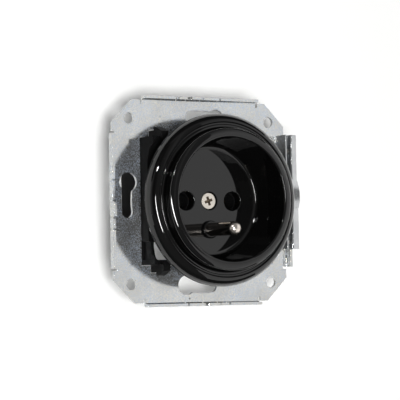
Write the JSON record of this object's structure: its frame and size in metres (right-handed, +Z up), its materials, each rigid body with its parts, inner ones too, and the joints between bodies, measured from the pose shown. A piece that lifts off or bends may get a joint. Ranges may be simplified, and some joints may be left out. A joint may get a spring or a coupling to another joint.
{
  "type": "wall socket insert",
  "caption": "Flush wall socket insert: black glazed ceramic cover with a round well, pin holes and earth pin, on a zinc-plated steel plate with keyholes and a black moulded base.",
  "frame": {"origin": "centre of the plate's back face, the face that lies on the wall", "axes": "+Y into the wall, so the front faces -Y; +X to the right seen from the front; +Z up"},
  "size_m": [0.0748, 0.0446, 0.0732],
  "materials": {
    "zinc_plate": "bright zinc plating, satin, slightly mottled",
    "spring_steel": "bright rolled spring steel",
    "screw_steel": "zinc plated",
    "black_glaze": "high gloss black glaze",
    "black_moulding": "semi-matte moulded",
    "nickel": "polished nickel plating",
    "brass": "plain stamped brass"
  },
  "bodies": {
    "root": {"mounting_plate": "zinc_plate", "frame_spring": "spring_steel", "spring_rivet_upper": "screw_steel", "spring_rivet_lower": "screw_steel", "ceramic_cover": "black_glaze", "cover_screw": "screw_steel", "screw_bush": "brass", "socket_base": "black_moulding", "rear_cover": "black_moulding", "live_contact": "brass", "neutral_contact": "brass", "live_contact_spring": "spring_steel", "neutral_contact_spring": "spring_steel", "live_terminal": "brass", "neutral_terminal": "brass", "live_terminal_screw": "screw_steel", "neutral_terminal_screw": "screw_steel", "live_rear_screw": "screw_steel", "neutral_rear_screw": "screw_steel", "earth_pin": "nickel", "earth_strap": "brass", "bond_rivet": "screw_steel", "earth_terminal": "brass", "earth_terminal_screw": "screw_steel"}
  },
  "joints": []
}
